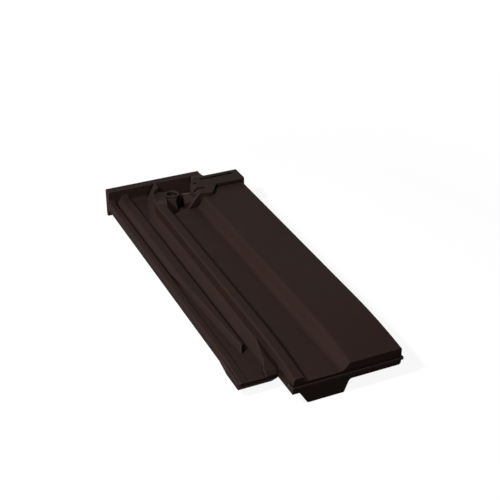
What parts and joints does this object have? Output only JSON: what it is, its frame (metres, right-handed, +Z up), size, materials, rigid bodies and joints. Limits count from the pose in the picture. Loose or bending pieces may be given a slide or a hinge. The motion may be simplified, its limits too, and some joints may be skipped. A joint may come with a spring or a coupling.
{
  "type": "half roof tile",
  "caption": "Half-width interlocking clay roof tile with a ribbed side lock, a raised ramped face, a head pocket with nail hole and a hooked foot.",
  "frame": {"origin": "middle of the tile's outline, on the plane it lies on", "axes": "+X across the tile from the side lock to the cover edge, +Y from the foot to the head, +Z up through the weather face"},
  "size_m": [0.1632, 0.44, 0.0445],
  "materials": {
    "engobed_clay": "satin engobe"
  },
  "bodies": {
    "root": {"half_tile": "engobed_clay"}
  },
  "joints": []
}
